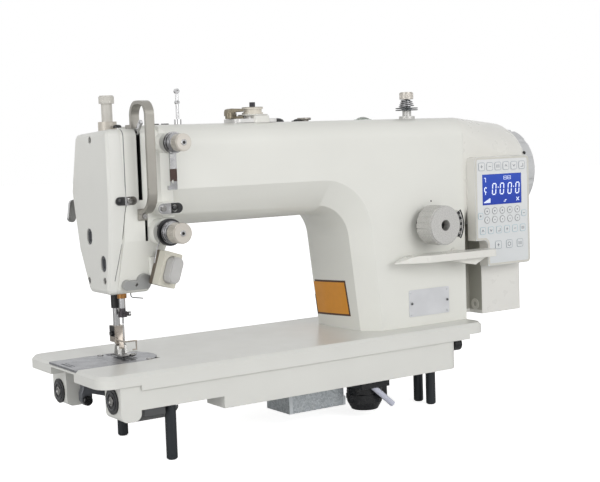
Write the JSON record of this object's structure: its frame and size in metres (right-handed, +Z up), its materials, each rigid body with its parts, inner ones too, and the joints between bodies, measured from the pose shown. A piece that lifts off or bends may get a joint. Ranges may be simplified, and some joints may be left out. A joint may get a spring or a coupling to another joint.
{
  "type": "industrial lockstitch sewing machine head",
  "caption": "Direct-drive flat-bed industrial lockstitch sewing machine head with needle and presser bars, tensions, rotary hook, stitch dial, reverse lever, winder and control panel.",
  "frame": {"origin": "centre of the whole head's bounding box, on the floor under its rest legs", "axes": "+X from the needle end towards the handwheel, +Y from the operator's side to the back, +Z up"},
  "size_m": [0.596, 0.184, 0.3586],
  "materials": {
    "bed": "semi-gloss enamel",
    "arm": "semi-gloss enamel",
    "motor_cover": "satin",
    "control_box": "satin",
    "control_panel": "satin membrane",
    "panel_display": "gloss",
    "face_plate": "semi-gloss enamel",
    "rubber_plugs": "matt",
    "needle_plate": "polished",
    "slide_plate": "ground",
    "feed_dog": "machined",
    "feed_bar": "as cast",
    "rotary_hook": "polished",
    "bobbin_case": "polished",
    "bobbin": "satin",
    "hook_shaft": "ground",
    "bushes": "machined",
    "timing_belt": "matt",
    "main_shaft": "ground",
    "crank": "machined",
    "needle_link": "machined",
    "needle_bar": "ground",
    "needle": "polished",
    "take_up_lever": "polished",
    "take_up_guard": "satin lacquer",
    "presser_bar": "ground",
    "presser_foot": "satin",
    "foot_sole": "polished",
    "presser_spring": "wire",
    "pressure_screw": "knurled",
    "lifter_lever": "polished",
    "pretension_unit": "polished",
    "pretension_nut": "knurled",
    "tension_unit": "polished",
    "tension_nut": "knurled",
    "check_spring": "wire",
    "thread_post": "polished",
    "thread_guides": "polished",
    "head_guard": "satin",
    "switch_housing": "satin",
    "switch_button": "satin",
    "winder_base": "satin",
    "winder_spindle": "machined",
    "winder_lever": "satin",
    "winder_tension": "polished",
    "winder_nut": "knurled",
    "oil_sight": "clear",
    "stitch_dial": "satin",
    "reverse_lever": "satin",
    "handwheel": "satin",
    "motor_stator": "laminated",
    "motor_rotor": "machined",
    "legs": "black oxide",
    "bed_plugs": "matt",
    "oil_shield": "matt",
    "solenoid_box": "galvanised",
    "cable_socket": "matt",
    "oil_tube": "clear hose",
    "nameplate": "brushed",
    "screws": "black oxide"
  },
  "bodies": {
    "frame": {"bed": "bed", "arm": "arm", "motor_cover": "motor_cover", "control_box": "control_box", "control_panel": "control_panel", "panel_display": "panel_display", "face_plate": "face_plate", "rubber_plugs": "rubber_plugs", "needle_plate": "needle_plate", "bobbin_case": "bobbin_case", "bushes": "bushes", "timing_belt": "timing_belt", "take_up_guard": "take_up_guard", "presser_spring": "presser_spring", "pretension_unit": "pretension_unit", "tension_unit": "tension_unit", "thread_post": "thread_post", "thread_guides": "thread_guides", "head_guard": "head_guard", "switch_housing": "switch_housing", "winder_base": "winder_base", "winder_tension": "winder_tension", "oil_sight": "oil_sight", "motor_stator": "motor_stator", "legs": "legs", "bed_plugs": "bed_plugs", "oil_shield": "oil_shield", "solenoid_box": "solenoid_box", "cable_socket": "cable_socket", "oil_tube": "oil_tube", "nameplate": "nameplate", "screws": "screws"},
    "drive": {"main_shaft": "main_shaft", "crank": "crank", "handwheel": "handwheel", "motor_rotor": "motor_rotor"},
    "hook": {"rotary_hook": "rotary_hook", "hook_shaft": "hook_shaft"},
    "bobbin": {"bobbin": "bobbin"},
    "needle_bar": {"needle_bar": "needle_bar", "needle": "needle"},
    "needle_link": {"needle_link": "needle_link"},
    "take_up": {"take_up_lever": "take_up_lever"},
    "presser": {"presser_bar": "presser_bar", "presser_foot": "presser_foot"},
    "foot_sole": {"foot_sole": "foot_sole"},
    "lifter": {"lifter_lever": "lifter_lever"},
    "feed_bar": {"feed_bar": "feed_bar"},
    "feed_dog": {"feed_dog": "feed_dog"},
    "slide_plate": {"slide_plate": "slide_plate"},
    "tension_nut": {"tension_nut": "tension_nut"},
    "pretension_nut": {"pretension_nut": "pretension_nut"},
    "winder_nut": {"winder_nut": "winder_nut"},
    "pressure_screw": {"pressure_screw": "pressure_screw"},
    "check_spring": {"check_spring": "check_spring"},
    "switch_button": {"switch_button": "switch_button"},
    "winder_spindle": {"winder_spindle": "winder_spindle"},
    "winder_lever": {"winder_lever": "winder_lever"},
    "stitch_dial": {"stitch_dial": "stitch_dial"},
    "reverse_lever": {"reverse_lever": "reverse_lever"}
  },
  "joints": [
    {"name": "main_shaft_turn", "type": "hinge", "parent": "frame", "child": "drive", "pos_m": [0.002, 0.002, 0.258], "axis": [1, 0, 0], "continuous": true},
    {"name": "hook_turn", "type": "hinge", "parent": "frame", "child": "hook", "pos_m": [0.002, 0.002, 0.06], "axis": [1, 0, 0], "continuous": true},
    {"name": "bobbin_turn", "type": "hinge", "parent": "frame", "child": "bobbin", "pos_m": [-0.24, 0.002, 0.06], "axis": [1, 0, 0], "continuous": true},
    {"name": "needle_bar_slide", "type": "slide", "parent": "frame", "child": "needle_bar", "axis": [0, 0, -1], "range_m": [0, 0.0307]},
    {"name": "needle_link_swing", "type": "hinge", "parent": "needle_bar", "child": "needle_link", "pos_m": [-0.224, 0.002, 0.22835], "axis": [1, 0, 0], "range_deg": [-20, 20]},
    {"name": "take_up_swing", "type": "hinge", "parent": "frame", "child": "take_up", "pos_m": [-0.228, -0.02, 0.294], "axis": [1, 0, 0], "range_deg": [0, 70]},
    {"name": "presser_lift", "type": "slide", "parent": "frame", "child": "presser", "axis": [0, 0, 1], "range_m": [0, 0.0055], "stiffness_N_per_m": 100, "springref_m": -0.005, "deforming": ["presser_spring"]},
    {"name": "foot_tilt", "type": "hinge", "parent": "presser", "child": "foot_sole", "pos_m": [-0.2305, 0.01, 0.1025], "axis": [1, 0, 0], "range_deg": [-2.5, 4]},
    {"name": "lifter_turn", "type": "hinge", "parent": "frame", "child": "lifter", "pos_m": [-0.2215, 0.039, 0.248], "axis": [0, 1, 0], "range_deg": [0, 50]},
    {"name": "feed_bar_slide", "type": "slide", "parent": "frame", "child": "feed_bar", "axis": [0, 1, 0], "range_m": [-0.0025, 0.0025]},
    {"name": "feed_dog_lift", "type": "slide", "parent": "feed_bar", "child": "feed_dog", "axis": [0, 0, 1], "range_m": [0, 0.0011]},
    {"name": "slide_plate_open", "type": "slide", "parent": "frame", "child": "slide_plate", "axis": [-1, 0, 0], "range_m": [0, 0.042]},
    {"name": "tension_nut_turn", "type": "hinge", "parent": "frame", "child": "tension_nut", "pos_m": [-0.209, -0.086, 0.2195], "axis": [0, 1, 0], "range_deg": [-170, 170]},
    {"name": "pretension_nut_turn", "type": "hinge", "parent": "frame", "child": "pretension_nut", "pos_m": [-0.202, -0.086, 0.305], "axis": [0, 1, 0], "range_deg": [-170, 170]},
    {"name": "winder_nut_turn", "type": "hinge", "parent": "frame", "child": "winder_nut", "pos_m": [0.12, -0.024, 0.347], "axis": [0, 0, 1], "range_deg": [-170, 170]},
    {"name": "pressure_screw_turn", "type": "hinge", "parent": "frame", "child": "pressure_screw", "pos_m": [-0.2305, 0.017, 0.332], "axis": [0, 0, 1], "range_deg": [-170, 170]},
    {"name": "check_spring_flex", "type": "hinge", "parent": "frame", "child": "check_spring", "pos_m": [-0.209, -0.0576, 0.2195], "axis": [0, 1, 0], "range_deg": [-2, 24], "stiffness_Nm_per_rad": 0.02},
    {"name": "switch_press", "type": "slide", "parent": "frame", "child": "switch_button", "axis": [0, 1, 0], "range_m": [0, 0.0015], "stiffness_N_per_m": 300},
    {"name": "winder_spindle_turn", "type": "hinge", "parent": "frame", "child": "winder_spindle", "pos_m": [-0.085, -0.024, 0.332], "axis": [0, 0, 1], "continuous": true},
    {"name": "winder_lever_turn", "type": "hinge", "parent": "frame", "child": "winder_lever", "pos_m": [-0.107, -0.018, 0.332], "axis": [0, 0, 1], "range_deg": [-15, 8]},
    {"name": "stitch_dial_turn", "type": "hinge", "parent": "frame", "child": "stitch_dial", "pos_m": [0.117, -0.086, 0.205], "axis": [0, 1, 0], "range_deg": [-165, 165]},
    {"name": "reverse_lever_press", "type": "hinge", "parent": "frame", "child": "reverse_lever", "pos_m": [0.157, -0.086, 0.1695], "axis": [0, -1, 0], "range_deg": [0, 12], "stiffness_Nm_per_rad": 0.5, "springref_deg": -6.88}
  ],
  "couplings": [
    {"joint": "hook_turn", "follows": "main_shaft_turn", "ratio": 2},
    {"joint": "lifter_turn", "follows": "presser_lift", "rad_per_m": 158.6}
  ]
}
